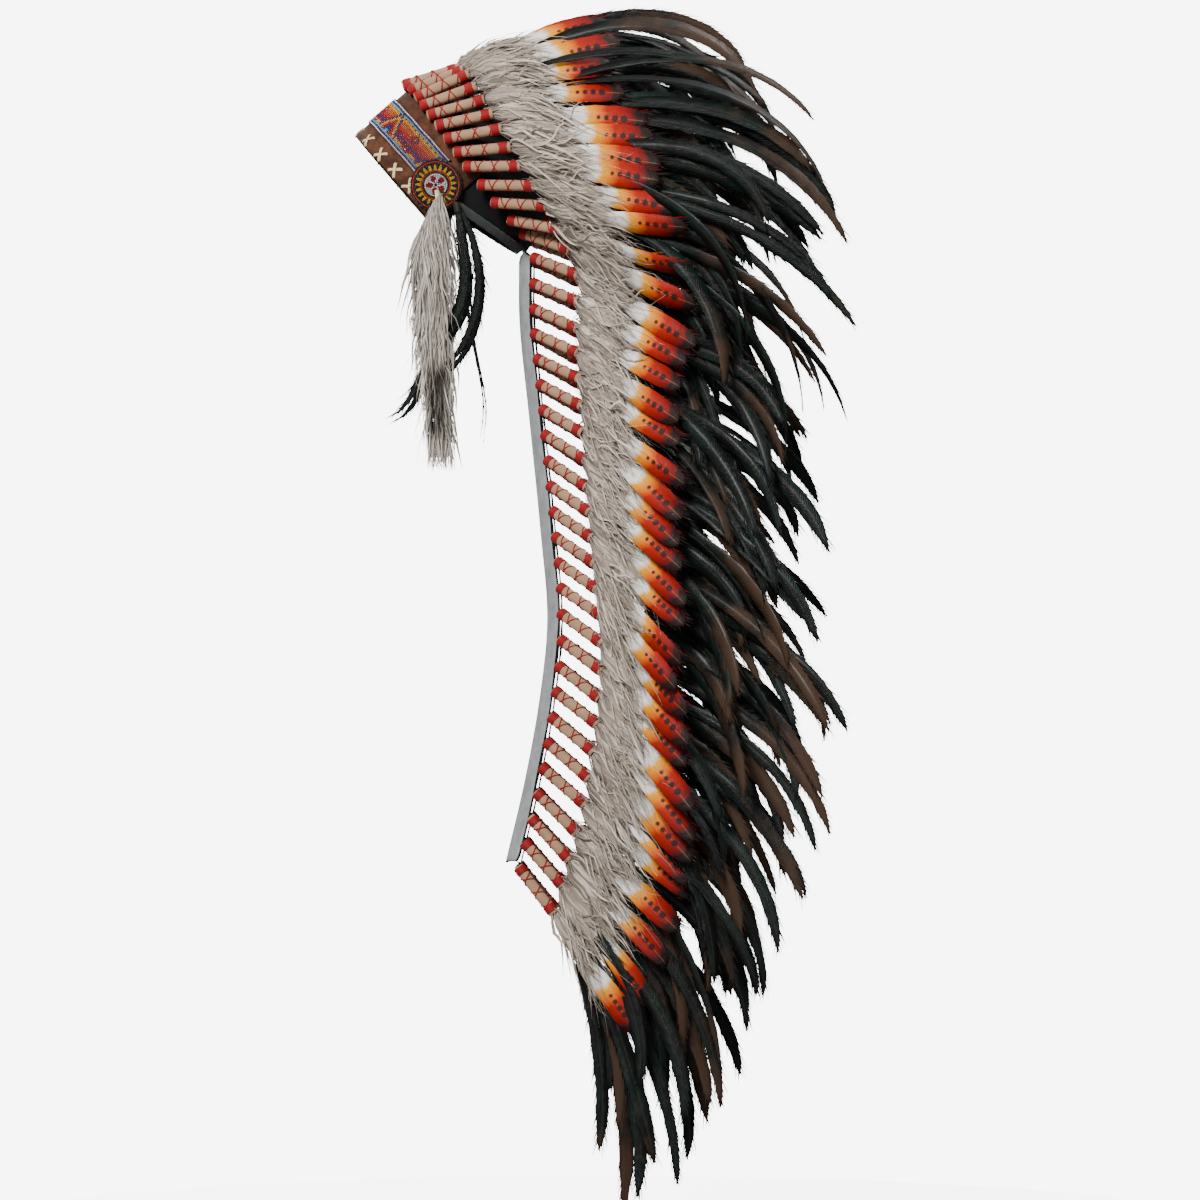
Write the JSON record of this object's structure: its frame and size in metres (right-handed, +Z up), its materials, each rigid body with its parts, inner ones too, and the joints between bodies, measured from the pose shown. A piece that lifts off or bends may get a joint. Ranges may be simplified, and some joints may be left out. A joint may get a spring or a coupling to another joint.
{
  "type": "feathered headdress",
  "caption": "Long feathered headdress: a skullcap with a beaded brow band and side rosettes, ringed by bound, dyed feathers that carry on down both edges of a hanging felt strip.",
  "frame": {"origin": "middle of the head opening, level with the rosettes: the point that a head mount holds", "axes": "+Z up as worn, -Y the way the wearer looks, +X the wearer's left"},
  "size_m": [0.393, 0.4911, 1.1829],
  "materials": {
    "cap_felt": "matt felt",
    "hem_felt": "matt felt",
    "suede": "brushed suede",
    "glass_beads": "glossy glass seed beads",
    "strip_felt": "matt felt",
    "wrap_felt": "matt felt",
    "fur": "soft down and fur",
    "painted_feather": "dyed feather",
    "plume": "glossy feather"
  },
  "bodies": {
    "root": {"skullcap": "cap_felt", "cap_hem": "hem_felt", "brow_band": "suede", "beaded_strip": "glass_beads", "trailer_strip": "strip_felt", "rosette_left": "glass_beads", "fur_drop_left": "fur", "drop_feathers_left": "plume", "rosette_right": "glass_beads", "fur_drop_right": "fur", "drop_feathers_right": "plume", "crown_wrap_left_01": "wrap_felt", "crown_wrap_left_02": "wrap_felt", "crown_wrap_left_03": "wrap_felt", "crown_wrap_left_04": "wrap_felt", "crown_wrap_left_05": "wrap_felt", "crown_wrap_left_06": "wrap_felt", "crown_wrap_left_07": "wrap_felt", "crown_wrap_left_08": "wrap_felt", "crown_wrap_left_09": "wrap_felt", "crown_wrap_left_10": "wrap_felt", "crown_wrap_left_11": "wrap_felt", "crown_wrap_left_12": "wrap_felt", "crown_wrap_left_13": "wrap_felt", "crown_wrap_left_14": "wrap_felt", "crown_wrap_right_01": "wrap_felt", "crown_wrap_right_02": "wrap_felt", "crown_wrap_right_03": "wrap_felt", "crown_wrap_right_04": "wrap_felt", "crown_wrap_right_05": "wrap_felt", "crown_wrap_right_06": "wrap_felt", "crown_wrap_right_07": "wrap_felt", "crown_wrap_right_08": "wrap_felt", "crown_wrap_right_09": "wrap_felt", "crown_wrap_right_10": "wrap_felt", "crown_wrap_right_11": "wrap_felt", "crown_wrap_right_12": "wrap_felt", "crown_wrap_right_13": "wrap_felt", "crown_wrap_right_14": "wrap_felt", "trailer_wraps_left_01": "wrap_felt", "trailer_wraps_left_02": "wrap_felt", "trailer_wraps_left_03": "wrap_felt", "trailer_wraps_left_04": "wrap_felt", "trailer_wraps_left_05": "wrap_felt", "trailer_fur_left": "fur", "trailer_painted_left": "painted_feather", "trailer_plumes_left": "plume", "trailer_wraps_right_01": "wrap_felt", "trailer_wraps_right_02": "wrap_felt", "trailer_wraps_right_03": "wrap_felt", "trailer_wraps_right_04": "wrap_felt", "trailer_wraps_right_05": "wrap_felt", "trailer_fur_right": "fur", "trailer_painted_right": "painted_feather", "trailer_plumes_right": "plume", "crown_fur": "fur", "crown_painted": "painted_feather", "crown_plumes": "plume"}
  },
  "joints": []
}
